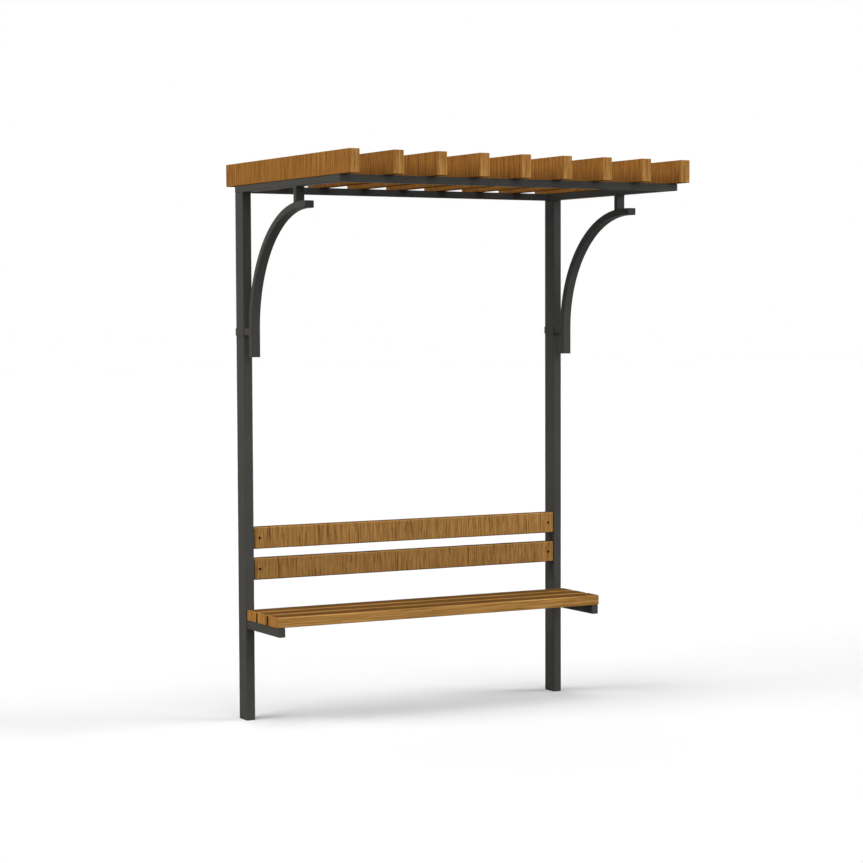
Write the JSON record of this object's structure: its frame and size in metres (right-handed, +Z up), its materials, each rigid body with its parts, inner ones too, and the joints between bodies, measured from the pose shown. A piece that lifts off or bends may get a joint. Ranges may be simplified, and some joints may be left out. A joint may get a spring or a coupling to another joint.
{
  "type": "pergola with bench",
  "caption": "Open pergola of dark steel tube: rear posts, arched braces and a mitred frame carry a slatted timber roof, and bearers carry a timber bench with a back.",
  "frame": {"origin": "ground level, in the middle of the left post's foot, on the face that meets the ground", "axes": "+Z up, +X from the left post to the right one as seen from the front, +Y to the rear; the roof and the bench reach forward along -Y"},
  "size_m": [1.6014, 1.208, 2.405],
  "materials": {
    "powder_coat": "fine matt powder coat, anthracite",
    "roof_timber": "planed timber, oiled golden brown",
    "seat_timber": "planed timber, oiled golden brown",
    "back_timber": "planed timber, oiled golden brown"
  },
  "bodies": {
    "root": {"back_board_1": "back_timber", "back_board_2": "back_timber", "back_roof_rail": "powder_coat", "front_roof_rail": "powder_coat", "left_bench_bearer": "powder_coat", "left_bench_bearer_plug": "powder_coat", "left_board_tab_1": "powder_coat", "left_board_tab_2": "powder_coat", "left_brace": "powder_coat", "left_brace_collar": "powder_coat", "left_brace_front_plug": "powder_coat", "left_brace_spacer": "powder_coat", "left_brace_tail_plug": "powder_coat", "left_brace_upright": "powder_coat", "left_foot_plate": "powder_coat", "left_post": "powder_coat", "left_roof_rail": "powder_coat", "right_bench_bearer": "powder_coat", "right_bench_bearer_plug": "powder_coat", "right_board_tab_1": "powder_coat", "right_board_tab_2": "powder_coat", "right_brace": "powder_coat", "right_brace_collar": "powder_coat", "right_brace_front_plug": "powder_coat", "right_brace_spacer": "powder_coat", "right_brace_tail_plug": "powder_coat", "right_brace_upright": "powder_coat", "right_foot_plate": "powder_coat", "right_post": "powder_coat", "right_roof_rail": "powder_coat", "roof_slat_1": "roof_timber", "roof_slat_2": "roof_timber", "roof_slat_3": "roof_timber", "roof_slat_4": "roof_timber", "roof_slat_5": "roof_timber", "roof_slat_6": "roof_timber", "roof_slat_7": "roof_timber", "roof_slat_8": "roof_timber", "roof_slat_9": "roof_timber", "seat_slat_1": "seat_timber", "seat_slat_2": "seat_timber", "seat_slat_3": "seat_timber"}
  },
  "joints": []
}
